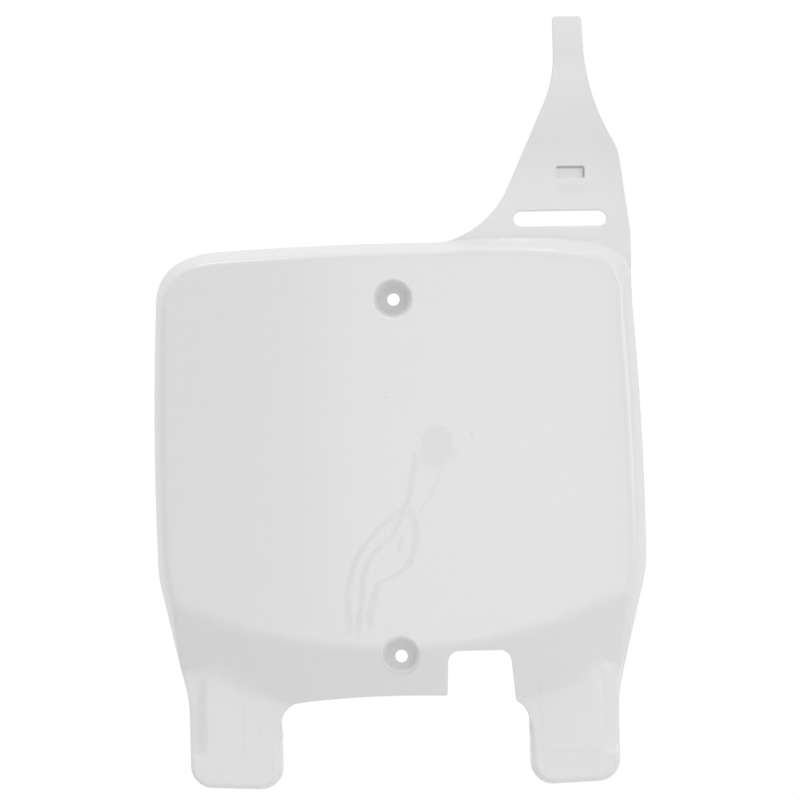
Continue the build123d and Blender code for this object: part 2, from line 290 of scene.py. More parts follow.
def foot_depth(x, z, inset):
    """Depth of both feet: a flat pad, a flank that slopes back on the outside, and drafted edges.

    The feet are alike but for the left one's inner edge, so the distance from
    the middle stands for x. Above the toe, the inner edge fades out into the plain
    front, because there the outline cuts the sheet.
    """
    side, tilt = np.abs(x), radians(flank_tilt)
    pad = np.full_like(side, foot_y + inset)
    flank = foot_y + (side - foot_outer + flank_width) * tan(tilt) + inset / cos(tilt)
    sloped = rolled_edge(pad, flank, flank_radius - inset)
    front = pad + (sloped - pad) * ramp(z, *flank_ramp)
    front = front + head_sink * ramp(z, *head_ramp_z) * ramp(side, *head_ramp_x)
    foot = rolled_edge(front, foot_edges(x, z, inset), max(foot_edge_radius - inset, least_foot_edge))
    return foot + (front - foot) * ramp(z, *open_ramp_z) * ramp(side, *open_ramp_x)


probe = foot_depth(*stacked(np.array([75.0, 90.0, 111.0]), np.full(3, -135.0)), 0)[0]
print("foot inside, on the pad and on the flank:", probe.round(2))

# %% [markdown]
# ## Dishes
#
# Two dishes sink the bolt heads below the number face. Each is a funnel that runs
# round into a flat seat. It could be cut with a Boolean, which often leaves
# long thin faces round the lip. As a depth it is let into whatever is there, so the lower
# dish comes out egg-shaped where it meets the skirt. The same cell joins the feet
# to the skirt, with a valley that is wide over the pad and tight elsewhere.

# %% Depth of the dishes and the feet together
bolt_heights = (93.0, -93.0)
seat_radius, dish_radius, dish_depth, seat_round = 6.5, 10.0, 7.0, 3.0
dish_lip, least_lip, dish_left, upper_dish_drop = 1.6, 0.3, 0.3, 0.9
root_radius, least_root, root_ramp = 3.8, 0.3, (-138.0, 12.0)
pad_root_radius, pad_ramp_in, pad_ramp_out = 24.0, (70.0, 12.0), (106.0, -8.0)


def seat_depth(x, z, height, inset):
    """Depth of a bolt seat: a flat floor, and a funnel that comes forward as it widens."""
    widening = (dish_radius - seat_radius) / dish_depth
    floor = np.full_like(x, inset - wall)
    drop = upper_dish_drop if height > 0 else 0.0
    away = np.hypot(x + dish_left, z - height + drop)
    funnel = floor - (away - seat_radius - inset) / widening
    return rolled_valley(floor, funnel, seat_round + inset)


def moulding_depth(x, z, inset):
    """Depth of the board with its feet and its dishes, before the strap is added."""
    depth = board_depth(x, z, inset)
    low = z[0] < -crease_drop
    feet = foot_depth(x[:, low], z[:, low], inset)
    side = np.abs(x[:, low])
    softer = pad_root_radius * ramp(side, *pad_ramp_in) * ramp(side, *pad_ramp_out)
    radius = least_root + (root_radius + softer) * ramp(z[:, low], *root_ramp)
    depth[:, low] = rolled_valley(depth[:, low], feet, radius + inset)
    for height in bolt_heights:
        depth = rolled_edge(depth, seat_depth(x, z, height, inset), max(dish_lip - inset, least_lip))
    return depth


probe = moulding_depth(*stacked(np.array([0.0, 9.5, 90.0]), np.array([88.0, 93.0, -135.0])), 0)[0]
print("seat, dish wall and foot pad:", probe.round(2))

# %% [markdown]
# ## Strap
#
# The strap goes round the handlebar's crossbar and back through its own slot. It
# is a sheet that carries the rim's roll upwards: straight as far as the slot, then
# leaning forward to a crest, and curled back at the tip. A separate piece would
# show a seam at its root. So the strap belongs to the same depth, and near its
# root it fades into the rim. The small recess is pressed into its front.

# %% Depth of the strap
strap_ramp_x, strap_ramp_z = (14.0, 30.0), (92.0, 22.0)
strap_bend, strap_crest, strap_tip, strap_lean, strap_curl = 142.6, 218.5, 241.2, 9.0, 3.0
strap_valley, strap_valley_behind = 2.5, 0.4


def strap_share(x, z):
    """How fully the strap has grown out of the rim: two smooth steps, along x and along z."""
    return ramp(x, *strap_ramp_x) * ramp(z, *strap_ramp_z)


def strap_depth(x, z, inset):
    """Depth of the strap: the rim's roll, less the wall and the lean, plus the curl.

    The lean eases in between bend and crest, and the curl grows with the square
    of the height above the crest.
    """
    level = rim_y + roll(x, face_radius - flange_depth)
    lean = strap_lean * ramp(z, strap_bend, strap_crest - strap_bend)
    curl = strap_curl * np.clip((z - strap_crest) / (strap_tip - strap_crest), 0, None) ** 2
    return level - (wall - inset) * strap_share(x, z) - lean + curl


probe = strap_depth(np.full(3, 93.0), np.array([135.0, 200.0, 241.0]), 0)
print("strap depth at the slot, neck and tip:", probe.round(2))

# %% Depth of the recess and of the whole moulding
recess_x, recess_z, recess_length, recess_width = 94.4, 158.9, 15.0, 5.9
recess_depth, recess_corner, recess_slope = 1.4, 1.0, 0.4


def recess_edge(x, z):
    """Signed distance to the recess's rounded outline, negative inside."""
    dx = np.abs(x - recess_x) - recess_length / 2 + recess_corner
    dz = np.abs(z - recess_z) - recess_width / 2 + recess_corner
    outside = np.hypot(np.maximum(dx, 0), np.maximum(dz, 0))
    return outside + np.minimum(np.maximum(dx, dz), 0) - recess_corner


def whole_depth(x, z, inset):
    """Stacked depth of the front, or of the back when inset is the wall."""
    x, z = stacked(x, z)
    depth = moulding_depth(x, z, inset)
    grown = strap_share(x, z)[0] > 0
    sheet = strap_depth(x[:, grown], z[:, grown], inset)
    valley = strap_valley if inset == 0 else strap_valley_behind
    depth[:, grown] = rolled_valley(depth[:, grown], sheet, valley)
    if inset == 0:
        depth += recess_depth * ease(0.5 - recess_edge(x, z) / recess_slope)
    return depth


probe = whole_depth(np.full(2, recess_x), np.array([recess_z, recess_z + recess_width]), 0)[0]
print("in the recess and above it:", probe.round(2))

# %% [markdown]
# ## Outline
#
# The outline is a polygon with rounded corners. Where the board ends in its
# flange, the true edge is where the flange reaches the rim. A drawn curve would
# only come near it, so those points slide along the slope until the two depths
# agree. The other edges, such as the strap, the notch for the brake hose and the
# gap between the feet, are plain cuts and stay put.

# %% Helpers for the outline
arc_step = 0.6
slide_rounds, longest_slide = 12, 1.0


def rounded_corner(before, corner, after, radius):
    """The arc that replaces a corner: it touches both edges at the radius over the half angle's tangent."""
    if radius == 0:
        return corner[None]
    u, v = (before - corner), (after - corner)
    u, v = u / np.hypot(*u), v / np.hypot(*v)
    half = np.arccos(np.clip(u @ v, -1, 1)) / 2
    centre = corner + (u + v) / np.hypot(*(u + v)) * radius / np.sin(half)
    start = corner + u * radius / np.tan(half) - centre
    end = corner + v * radius / np.tan(half) - centre
    first = np.arctan2(start[1], start[0])
    turn = (np.arctan2(end[1], end[0]) - first + pi) % (2 * pi) - pi
    angle = first + turn * np.linspace(0, 1, max(3, int(abs(turn) * radius / arc_step)))
    return centre + radius * np.stack([np.cos(angle), np.sin(angle)], 1)


def resampled(path, spacing):
    """A closed path walked in equal steps."""
    closed = np.vstack([path, path[:1]])
    walked = np.concatenate([[0], np.cumsum(np.hypot(*np.diff(closed, axis=0).T))])
    steps = np.linspace(0, walked[-1], int(walked[-1] / spacing), endpoint=False)
    return np.stack([np.interp(steps, walked, closed[:, k]) for k in (0, 1)], 1)


def slid_to_rim(points, inset):
    """Newton steps along the slope to where the moulding's depth equals the rim's depth."""
    for _ in range(slide_rounds):
        x, z = stacked(*points.T)
        short = rim_depth(x, z) - moulding_depth(x, z, inset)
        gx, gz = slopes(short)
        step = np.clip(short[0] / (gx * gx + gz * gz), -longest_slide, longest_slide)
        points = points - np.stack([gx, gz], 1) * step[:, None]
    return points


probe = rounded_corner(np.array([9.0, 0.0]), np.zeros(2), np.array([0.0, 9.0]), 3.0)
print("a corner of radius 3 becomes", len(probe), "points")

# %% Corners of the outline
skirt_edge_arch = 480.0
gap_radius, gap_centre_z, gap_turn = 11, -127.9, np.radians([50, 36, 22, 8])
notch_top, notch_radius, notch_lip = -90.7, 6, 0.8
foot_head_drop, side_end_drop = 118.0, 109.0
tip_radius = 2


def arch(x):
    """Height of the skirt's lower edge at x: its drop, and the roll of its arch below that."""
    return -skirt_edge_drop - roll(x, skirt_edge_arch)


left_foot = [
    (-foot_outer, toe_rise - foot_drop, foot_corner_radius),
    (-left_inner, -foot_drop, foot_corner_radius),
    (-left_inner, arch(left_inner), gap_radius),
]
skirt_edge = [(x, arch(x), 0) for x in range(-45, 21, 10)]
notch = [
    (23.46, -114.27, notch_lip), (24.5, notch_top, notch_radius),
    (56.5, notch_top, notch_radius), (59.15, -117.9, notch_lip),
]
right_gap = [
    (right_inner - gap_radius + gap_radius * cos(t), gap_centre_z + gap_radius * sin(t), 0) for t in gap_turn
]
right_foot = [
    (right_inner, -foot_drop, foot_corner_radius),
    (foot_outer, toe_rise - foot_drop, foot_corner_radius),
    (foot_outer, -foot_head_drop, 0), (115.0, -side_end_drop, 0),
]
right_side = [(130.2, -waist_drop, waist_radius), (128.6, 30.0, 0), (126.4, 92.0, 0), (125.7, 97.0, 0)]
strap = [
    (125.7, 128.0, 60), (120.4, 170.5, 30), (103.6, 200.5, 100), (102.3, strap_tip, tip_radius),
    (86.8, strap_tip, tip_radius), (86.6, 206.5, 60), (48.0, 122.6, 49),
]
left_side = [
    (-127.6, 121.6, top_corner_radius), (-129.2, -waist_drop, waist_radius),
    (-115.4, -side_end_drop, 0), (-foot_outer, -foot_head_drop, 0),
]
corners = left_foot + skirt_edge + notch + right_gap + right_foot + right_side + strap + left_side
print(len(corners), "corners")

# %% Trace the outline
rough_step, outline_step = 0.7, 1.05
left_edge, right_edge, strap_foot_z = -100, 100, 94.6
top_edge, strap_foot_x = 110, 26.8
toe_zone_z, gap_reach = -145, 60

points = np.array([c[:2] for c in corners])
radii = [c[2] for c in corners]
rough = np.vstack([
    rounded_corner(points[i - 1], points[i], points[(i + 1) % len(points)], radii[i])
    for i in range(len(points))
])
rough = resampled(rough, rough_step)
x, z = rough.T
on_left = x < left_edge
on_top = (z > top_edge) & (x < strap_foot_x)
on_toes = (z < toe_zone_z) & (abs(x) > gap_reach)
on_right = (x > right_edge) & (z < strap_foot_z)
ends_in_rim = on_left | on_top | on_toes | on_right
rough[ends_in_rim] = slid_to_rim(rough[ends_in_rim], 0)
outline = resampled(rough, outline_step)
print("outline of", len(outline), "points,", (outline.max(0) - outline.min(0)).round(1), "mm")

# %% [markdown]
# ## Points over the front and the back
#
# A mesh shades well when its points lie in rows along its edges, closely where
# the form turns and widely where it is calm. An even grid fine enough for the
# edges would be many times heavier. So rings of points follow the outline, the
# slot, the recess and the dishes, and a plain grid fills the face.

# %% Distances and insides
block_size = 2000


def inward(path):
    """Unit normals of a closed path, to the left of its direction, which is into the sheet."""
    run = np.roll(path, -1, 0) - np.roll(path, 1, 0)
    run /= np.hypot(*run.T)[:, None]
    return np.stack([-run[:, 1], run[:, 0]], 1)


def clearance(points, path):
    """Distance from each point to the nearest point of a path, in blocks to spare memory."""
    blocks = np.array_split(points, len(points) // block_size + 1)
    return np.concatenate([np.sqrt(((b[:, None] - path) ** 2).sum(2).min(1)) for b in blocks])


def enclosed(points, path):
    """True where a line to the right crosses the closed path an odd number of times."""
    (x, z), (x1, z1), (x2, z2) = points.T[:, :, None], path.T, np.roll(path, -1, 0).T
    crosses = (z1 > z) != (z2 > z)
    with np.errstate(divide="ignore", invalid="ignore"):
        at = x1 + (z - z1) / (z2 - z1) * (x2 - x1)
    return (crosses & (x < at)).sum(1) % 2 == 1


print("middle of the board inside its outline:", enclosed(np.zeros((1, 2)), outline)[0])

# %% Slot, bolt holes and grids
slot_x, slot_z, slot_length, slot_width, slot_step = 88.5, 134.6, 49.0, 8.0, 0.8
slot_rough_points = 400
bolt_radius, bolt_points = 3.3, 72


def stadium(x, z, length, width, count):
    """A slot's closed outline, clockwise: half circles at both ends of a straight run."""
    angle = -2 * pi * np.arange(count) / count + pi / 2
    ends = np.sign(np.cos(angle)) * (length - width) / 2
    path = np.stack([x + ends + width / 2 * np.cos(angle), z + width / 2 * np.sin(angle)], 1)
    return resampled(path, slot_step)


def ring(x, z, radius, count):
    """A circle of points, clockwise."""
    angle = -2 * pi * np.arange(count) / count
    return np.stack([x + radius * np.cos(angle), z + radius * np.sin(angle)], 1)


def grid(x0, x1, z0, z1, spacing):
    """Rows and columns of points, every other row moved by half a step."""
    x, z = np.meshgrid(np.arange(x0, x1, spacing), np.arange(z0, z1, spacing))
    x[1::2] += spacing / 2
    return np.stack([x.ravel(), z.ravel()], 1)


slot = stadium(slot_x, slot_z, slot_length, slot_width, slot_rough_points)
holes = [ring(0, height, bolt_radius, bolt_points) for height in bolt_heights]
print("slot of", len(slot), "points, bolt holes of", len(holes[0]))

# %% Rows of points
edge_gaps = (
    0.4, 0.8, 1.25, 1.8, 2.4, 3.0, 3.6, 4.2, 4.8, 5.4, 6.1, 6.8, 7.6, 8.5, 9.5, 10.7, 12.2,
)
dish_rows = (
    4.2, 5.0, 5.7, 6.1, 6.4, 6.7, 7.1, 7.6, 8.2, 8.7,
    9.1, 9.5, 9.8, 10.1, 10.4, 10.8, 11.3, 12.0, 13.0, 14.1,
)
close_gap, foot_zone, gap_kept = 1, -125, 0.93
field_clear, outline_clear, dish_points = 12.9, 1.2, 88
face_field, foot_field, strap_field = (
    (-118, 118, -74, 118, 3.6), (-116, 116, -158, -74, 1.6), (20, 124, 118, 236, 2.2),
)


def edge_rings(path):
    """Rows beside the outline; the closest ones only round the feet, and none where they fold."""
    rings = []
    for gap in edge_gaps:
        row = path + inward(path) * gap
        wanted = (gap > close_gap) | (row[:, 1] < foot_zone)
        rings.append(row[wanted & (clearance(row, path) > gap_kept * gap)])
    return np.vstack(rings)


def calm_fields(path):
    """Grids for the face, the skirt with the feet, and the strap, clear of the outline's rows."""
    fields = np.vstack([grid(*field) for field in (face_field, foot_field, strap_field)])
    fields = fields[enclosed(fields, path)]
    return fields[clearance(fields, path) > field_clear]


def dish_rings(path):
    """Circles round both bolt seats, close together where the lip and the floor turn."""
    rings = np.vstack([
        ring(0, height, radius, dish_points) for height in bolt_heights for radius in dish_rows
    ])
    rings = rings[enclosed(rings, path)]
    return rings[clearance(rings, path) > outline_clear]


print(len(edge_gaps), "rows beside the outline,", len(dish_rows), "in each dish")

# %% Fill the front
slot_gaps = (1.2, 1.9, 2.8, 3.9)
dish_clear, slot_clear, recess_clear, crowded = 14.5, 4.6, 0.9, 0.32
pocket_reach_x, pocket_columns = 9, 61
pocket_reach_z, pocket_rows = 4.6, 32


def recess_points():
    """A fine grid over the recess and a narrow band round it."""
    across = np.linspace(-pocket_reach_x, pocket_reach_x, pocket_columns)
    up = np.linspace(-pocket_reach_z, pocket_reach_z, pocket_rows)
    pocket = np.stack(np.meshgrid(across, up), -1).reshape(-1, 2) + (recess_x, recess_z)
    return pocket[recess_edge(*pocket.T) < recess_clear]


def fill_points(path, slot):
    """Rings along every edge and feature, and a grid between them, thinned where they crowd."""
    rest = np.vstack([edge_rings(path), calm_fields(path)])
    for height in bolt_heights:
        rest = rest[np.hypot(rest[:, 0], rest[:, 1] - height) > dish_clear]
    rest = rest[(clearance(rest, slot) > slot_clear) & ~enclosed(rest, slot)]
    rest = rest[recess_edge(*rest.T) > recess_clear]
    round_slot = [slot + inward(slot) * gap for gap in slot_gaps]
    scattered = np.vstack([*round_slot, dish_rings(path), recess_points(), rest])
    cells = np.round(scattered / crowded).astype(int)
    return scattered[np.sort(np.unique(cells, axis=0, return_index=True)[1])]


front_filling = fill_points(outline, slot)
print(len(front_filling), "points over the front")

# %% [markdown]
# ## From points to two skins
#
# A Delaunay triangulation joins the points, because it avoids thin slivers and
# keeps the outlines as fixed edges. The depth then lifts the front and, one wall
# further in, the back. Solidify could give the wall too, but it can fold over
# itself where an edge's radius is smaller than the wall. The back ends where its
# own surface reaches the rim, so its outline is slid there first.

# %% Outline of the back
rim_slack = 0.01
back_outline = outline.copy()
beyond = moulding_depth(*stacked(*outline.T), wall)[0] > rim_depth(*outline.T) + rim_slack
slid = slid_to_rim(outline[beyond], wall)
share = strap_share(*outline[beyond].T)[:, None]
back_outline[beyond] = slid + (outline[beyond] - slid) * share
print(beyond.sum(), "points of the back slid to the rim")

# %% Helpers for the skins
edge_rounding, slot_rounding, hole_rounding = 0.7, 0.8, 0.4
same_point = 1e-7


def triangulated(loops, filling, open_loops):
    """Delaunay triangles of all points, with the loops as fixed edges and the openings left out."""
    points = np.vstack([*loops, filling])
    edges, start = [], 0
    for loop in loops:
        ids = start + np.arange(len(loop))
        edges.append(np.stack([ids, np.roll(ids, -1)], 1))
        start += len(loop)
    found = delaunay_2d_cdt([Vector(p) for p in points], np.vstack(edges).tolist(), [], 1, same_point)
    points, triangles = np.array([tuple(p) for p in found[0]]), np.array(found[2])
    middle = points[triangles].mean(1)
    keep = np.ones(len(triangles), bool)
    for loop in open_loops:
        keep &= ~enclosed(middle, loop)
    triangles = triangles[keep]
    a, b, c = points[triangles].transpose(1, 2, 0)
    turned = (b[0] - a[0]) * (c[1] - a[1]) < (b[1] - a[1]) * (c[0] - a[0])
    triangles[turned] = triangles[turned][:, ::-1]
    return points, triangles


def lifted(points, inset):
    """Plane points raised to their depth; the back stops at the rim."""
    depth = np.minimum(whole_depth(*points.T, inset)[0], rim_depth(*points.T))
    return np.stack([points[:, 0], depth, points[:, 1]], 1)


def edge_row(path, inset, round_off):
    """The row where an edge's rounding begins: the rounding's size, measured down the slope."""
    gx, gz = slopes(whole_depth(*path.T, inset))
    normal = inward(path)
    slope = gx * normal[:, 0] + gz * normal[:, 1]
    return path + normal * (round_off / np.sqrt(1 + slope * slope))[:, None]


print("roundings", edge_rounding, slot_rounding, hole_rounding, "mm")

# %% Skins of the front and the back
rounding = [edge_rounding, slot_rounding, hole_rounding, hole_rounding]
fronts = [outline, slot, *holes]
backs = [back_outline, slot, *holes]
front_rows = [edge_row(path, 0, r) for path, r in zip(fronts, rounding)]
back_rows = [edge_row(path, wall, r) for path, r in zip(backs, rounding)]
front_plane, front_faces = triangulated(front_rows, front_filling, front_rows[1:])
back_plane, back_faces = triangulated(back_rows, fill_points(back_outline, slot), back_rows[1:])
front_skin, back_skin = lifted(front_plane, 0), lifted(back_plane, wall)
print("front", len(front_skin), "points", len(front_faces), "triangles; back", len(back_faces))

# %% [markdown]
# ## Rim
#
# A moulded edge is never sharp. At every edge a short rounding leaves the front,
# a narrow flat crosses the wall, and a second rounding runs into the back. A
# Bevel modifier would have to guess those edges from their angles. Here the rim
# is a profile carried along the outline, the slot and the holes, with a quadratic
# curve for each rounding, so it joins both skins point by point.

# %% Carry the rim's profile round every edge
rounding_steps = (0.25, 0.5, 0.75)
most_of_wall, no_wall = 0.45, 1e-6


def bent(a, corner, b, t):
    """A quadratic curve from a to b that a corner pulls on: shares (1-t)^2, 2t(1-t) and t^2."""
    return a * (1 - t) ** 2 + corner * 2 * t * (1 - t) + b * t * t


def rim_rows(first, near, far, last, round_off):
    """Rows of the rim from the front's first row to the back's last one."""
    through = far - near
    thickness = np.maximum(np.linalg.norm(through, axis=1), no_wall)
    share = np.minimum(round_off / thickness, most_of_wall)[:, None]
    near_in, far_in = near + through * share, far - through * share
    leaving = [bent(first, near, near_in, t) for t in rounding_steps]
    arriving = [bent(far_in, far, last, t) for t in rounding_steps]
    return leaving + [near_in, far_in] + arriving


vertices = [front_skin, back_skin]
quads = []
total, front_start, back_start = len(front_skin) + len(back_skin), 0, len(front_skin)
for front, back, r in zip(fronts, backs, rounding):
    n = len(front)
    first = front_skin[front_start:front_start + n]
    last = back_skin[back_start - len(front_skin):][:n]
    rows = rim_rows(first, lifted(front, 0), lifted(back, wall), last, r)
    ids = [front_start + np.arange(n)]
    ids += [total + n * k + np.arange(n) for k in range(len(rows))]
    ids += [back_start + np.arange(n)]
    for a, b in zip(ids, ids[1:]):
        quads.append(np.stack([a, b, np.roll(b, -1), np.roll(a, -1)], 1))
    vertices += rows
    total, front_start, back_start = total + n * len(rows), front_start + n, back_start + n
quads = np.vstack(quads)
print("rim of", len(quads), "quads")

# %% Make the board's mesh
def mesh_piece(name, points, faces):
    """A smooth-shaded mesh object at the origin, from points in millimetres."""
    mesh = bpy.data.meshes.new(name)
    mesh.from_pydata((points * MM).tolist(), [], faces)
    mesh.polygons.foreach_set("use_smooth", np.ones(len(mesh.polygons), bool))
    mesh.validate()
    piece = bpy.data.objects.new(name, mesh)
    bpy.context.scene.collection.objects.link(piece)
    return piece


faces = front_faces.tolist() + (back_faces[:, ::-1] + len(front_skin)).tolist() + quads.tolist()
board = mesh_piece("board_moulding", np.vstack(vertices), faces)
print(board.name, len(board.data.vertices), "points,", len(board.data.polygons), "faces")

# %% [markdown]
# ## Hand the board to the frame
#
# The new skin takes the place of the plain CAD solid and rides on its body. It
# could also be laid over the solid, but two skins so close together would show
# through each other.

# %% Ride and replace
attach(board, "root")
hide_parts("number_board")
print(board.name, "stands in for number_board")

# %% [markdown]
# ## Locating ribs
#
# Behind the face, two thin ribs stop the board from turning on its bracket. On a
# moulding such ribs are about two thirds of the wall, so that they hardly sink
# the face in front of them. They could be part of the back's depth, but their
# upright flanks would need many points there. A rounded bar is enough: a section
# with soft corners, carried along x, with its ends drawn together.

# %% Make the ribs
rib_start, rib_end, rib_height, rib_thickness, rib_back = 66.0, 96.0, 87.8, 1.4, 1.91
rib_root, rib_squareness, rib_end_power = 1.2, 0.35, 30
rib_rows, rib_around = 41, 32


def squared_off(t):
    """A sine or cosine raised to a small power, with its sign kept, which squares a circle off."""
    return np.sign(t) * np.abs(t) ** rib_squareness


def rounded_bar(x0, x1):
    """A bar along x: a squared-off circle in depth and z, shrunk to a point at both ends.

    The front half starts inside the wall, and the back half stands behind it.
    """
    along, around = np.linspace(-1, 1, rib_rows), 2 * pi * np.arange(rib_around) / rib_around
    run, turn = np.meshgrid(along, around, indexing="ij")
    size = (1 - np.abs(run) ** rib_end_power) ** rib_squareness
    x = (x0 + x1) / 2 + run * (x1 - x0) / 2
    front = face_y + rib_root + roll(x, face_radius)
    depth = (rib_back + front) / 2 + (rib_back - front) / 2 * size * squared_off(np.sin(turn))
    z = rib_height + rib_thickness / 2 * size * squared_off(np.cos(turn))
    return np.stack([x, depth, z], -1).reshape(-1, 3)


def tube_quads(start):
    """Quads of a grid that closes on itself the short way round."""
    ids = start + np.arange(rib_rows * rib_around).reshape(rib_rows, rib_around)
    near, far = ids[:-1], ids[1:]
    return np.stack([near, np.roll(near, -1, 1), np.roll(far, -1, 1), far], -1).reshape(-1, 4)


bars = [rounded_bar(*ends) for ends in ((-rib_end, -rib_start), (rib_start, rib_end))]
bar_quads = [tube_quads(k * rib_rows * rib_around) for k in (0, 1)]
ribs = mesh_piece("locating_ribs", np.vstack(bars), np.vstack(bar_quads).tolist())
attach(ribs, "root")
print(ribs.name, len(ribs.data.polygons), "faces")

# %% [markdown]
# ## Finish of the moulding
#
# White polypropylene comes out of the mould with a satin gloss. It is never one
# flat white: the melt leaves flow streaks where it ran together, ribs draw faint
# sink lines on the face, and a few specks of burnt plastic stay in the surface.
# They could be painted on an image, but then the finish would depend on a file.
# As masks in millimetres on Object coordinates they sit in the same place from
# every side. The masks that are used more than once are node groups, and a small
# helper keeps the arithmetic readable.

# %% Helpers for node arithmetic
def plug(tree, socket, term):
    """Another node's output linked to a socket, or a number set on it."""
    if isinstance(term, bpy.types.NodeSocket):
        tree.links.new(term, socket)
    else:
        socket.default_value = term


def plugged(tree, step, terms):
    """A node's first inputs filled in order, and its first output."""
    for socket, term in zip(step.inputs, terms):
        plug(tree, socket, term)
    return step.outputs[0]


def calc(tree, operation, *terms):
    """A Math node; each term is a number or another node's output."""
    step = tree.nodes.new("ShaderNodeMath")
    step.operation = operation
    return plugged(tree, step, terms)


def eased(tree, value, low, high):
    """A smooth step of value from 0 at low to 1 at high; all may be outputs or numbers."""
    step = tree.nodes.new("ShaderNodeMapRange")
    step.interpolation_type = "SMOOTHSTEP"
    return plugged(tree, step, (value, low, high))


def new_group(name, inputs, output):
    """An empty shader group with number inputs and one number output."""
    tree = bpy.data.node_groups.new(name, "ShaderNodeTree")
    for label in inputs:
        tree.interface.new_socket(name=label, in_out="INPUT", socket_type="NodeSocketFloat")
    tree.interface.new_socket(name=output, in_out="OUTPUT", socket_type="NodeSocketFloat")
    return tree, tree.nodes.new("NodeGroupInput").outputs, tree.nodes.new("NodeGroupOutput").inputs[0]


def placed(tree, group, **values):
    """A group placed in a material; words in a name are joined by an underscore."""
    step = tree.nodes.new("ShaderNodeGroup")
    step.node_tree = group
    for label, term in values.items():
        plug(tree, step.inputs[label.replace("_", " ")], term)
    return step.outputs[0]


print("node groups so far:", len(bpy.data.node_groups))

# %% Streak and spot masks as groups
streak_core = 0.25
streak_inputs = ["Across", "Along", "Centre", "Half Width", "Start", "End", "Fade"]
streak, ins, out = new_group("soft streak", streak_inputs, "Mask")
off = calc(streak, "ABSOLUTE", calc(streak, "SUBTRACT", ins["Across"], ins["Centre"]))
core = calc(streak, "MULTIPLY", ins["Half Width"], streak_core)
inside = calc(streak, "SUBTRACT", 1, eased(streak, off, core, ins["Half Width"]))
begun = eased(streak, ins["Along"], ins["Start"], calc(streak, "ADD", ins["Start"], ins["Fade"]))
ended = eased(streak, ins["Along"], calc(streak, "SUBTRACT", ins["End"], ins["Fade"]), ins["End"])
left_over = calc(streak, "MULTIPLY", begun, calc(streak, "SUBTRACT", 1, ended))
streak.links.new(calc(streak, "MULTIPLY", inside, left_over), out)

spot, ins, out = new_group("soft spot", ["X", "Z", "Centre X", "Centre Z", "Core", "Radius"], "Mask")
dx = calc(spot, "SUBTRACT", ins["X"], ins["Centre X"])
dz = calc(spot, "SUBTRACT", ins["Z"], ins["Centre Z"])
squares = calc(spot, "ADD", calc(spot, "MULTIPLY", dx, dx), calc(spot, "MULTIPLY", dz, dz))
away = calc(spot, "SQRT", squares)
spot.links.new(calc(spot, "SUBTRACT", 1, eased(spot, away, ins["Core"], ins["Radius"])), out)
print("groups:", [g.name for g in bpy.data.node_groups])

# %% [markdown]
# ### Flow streaks
#
# The flow streaks start in a dull patch above the middle, where the melt probably
# came in, and run down towards the lower dish in three long strands and two short
# ones. Noise alone would put them anywhere. So each strand's middle is a Float
# Curve that gives x for every height, drawn through a few stations, and a little
# noise frays its sides.

# %% White plastic and its coordinates
plastic = bpy.data.materials.new("white_plastic")
plastic.use_nodes = True
tree = plastic.node_tree
shader = tree.nodes["Principled BSDF"]
place = tree.nodes.new("ShaderNodeTexCoord").outputs["Object"]
parted = tree.nodes.new("ShaderNodeSeparateXYZ")
tree.links.new(place, parted.inputs[0])
per_metre = 1 / MM
across, back, height = (calc(tree, "MULTIPLY", axis, per_metre) for axis in parted.outputs)


def drawn_centre(along, stations):
    """Centre of a streak: a drawn curve through (along, across) stations, scaled to the unit square."""
    stations = np.array(sorted(stations))
    low, high = stations.min(0), stations.max(0)
    step = tree.nodes.new("ShaderNodeFloatCurve")
    curve = step.mapping.curves[0]
    shares = (stations - low) / (high - low)
    curve.points[0].location, curve.points[-1].location = shares[0], shares[-1]
    for share in shares[1:-1]:
        curve.points.new(*share)
    step.mapping.update()
    part = calc(tree, "DIVIDE", calc(tree, "SUBTRACT", along, low[0]), high[0] - low[0])
    tree.links.new(part, step.inputs["Value"])
    return calc(tree, "ADD", calc(tree, "MULTIPLY", step.outputs[0], high[1] - low[1]), low[1])


def grain_noise(size, detail):
    """Noise whose grains are about size millimetres wide."""
    step = tree.nodes.new("ShaderNodeTexNoise")
    step.inputs["Scale"].default_value = per_metre / size
    step.inputs["Detail"].default_value = detail
    tree.links.new(place, step.inputs["Vector"])
    return step.outputs[0]


def wandering(size, detail, reach):
    """Noise about zero: half the reach to either side."""
    return calc(tree, "MULTIPLY", calc(tree, "SUBTRACT", grain_noise(size, detail), 0.5), reach)


def sum_of(masks):
    """All masks added up."""
    total = masks[0]
    for mask in masks[1:]:
        total = calc(tree, "ADD", total, mask)
    return total


print("material", plastic.name)

# %% Flow strands
overrun, strand_fade, fray = 3, 9.0, 2.4
strands = [
    (2.6, [(-82, -26.2), (-68, -26.9), (-58.5, -26.7), (-49, -24.4), (-41, -21.6), (-34.4, -16.8),
           (-27, -10.1), (-20, -2.5), (-13.7, 4.9), (-7.5, 6.6), (2, 8.1), (13, 10.7)]),
    (2.3, [(-84, -22.6), (-68, -20.3), (-60, -19.2), (-54, -19.1), (-46.6, -17.1), (-40, -13.3),
           (-34.6, -7.5), (-28.5, -1.9), (-22, 1.1), (-16, 3.8)]),
    (2.9, [(-79, -16.2), (-68.5, -15), (-60, -12.7), (-55, -10), (-51, -2.4), (-45, 5.2),
           (-38.6, 7.5), (-29.6, 9.2), (-21, 7.6), (-14.7, 4.9)]),
    (1.2, [(-18.5, 10.5), (-14, 14.2), (-8, 18), (5, 24)]),
    (1.6, [(-42, -2.2), (-36, 0.8), (-28.7, 2.8)]),
]
ragged = calc(tree, "ADD", across, wandering(4, 3, fray))
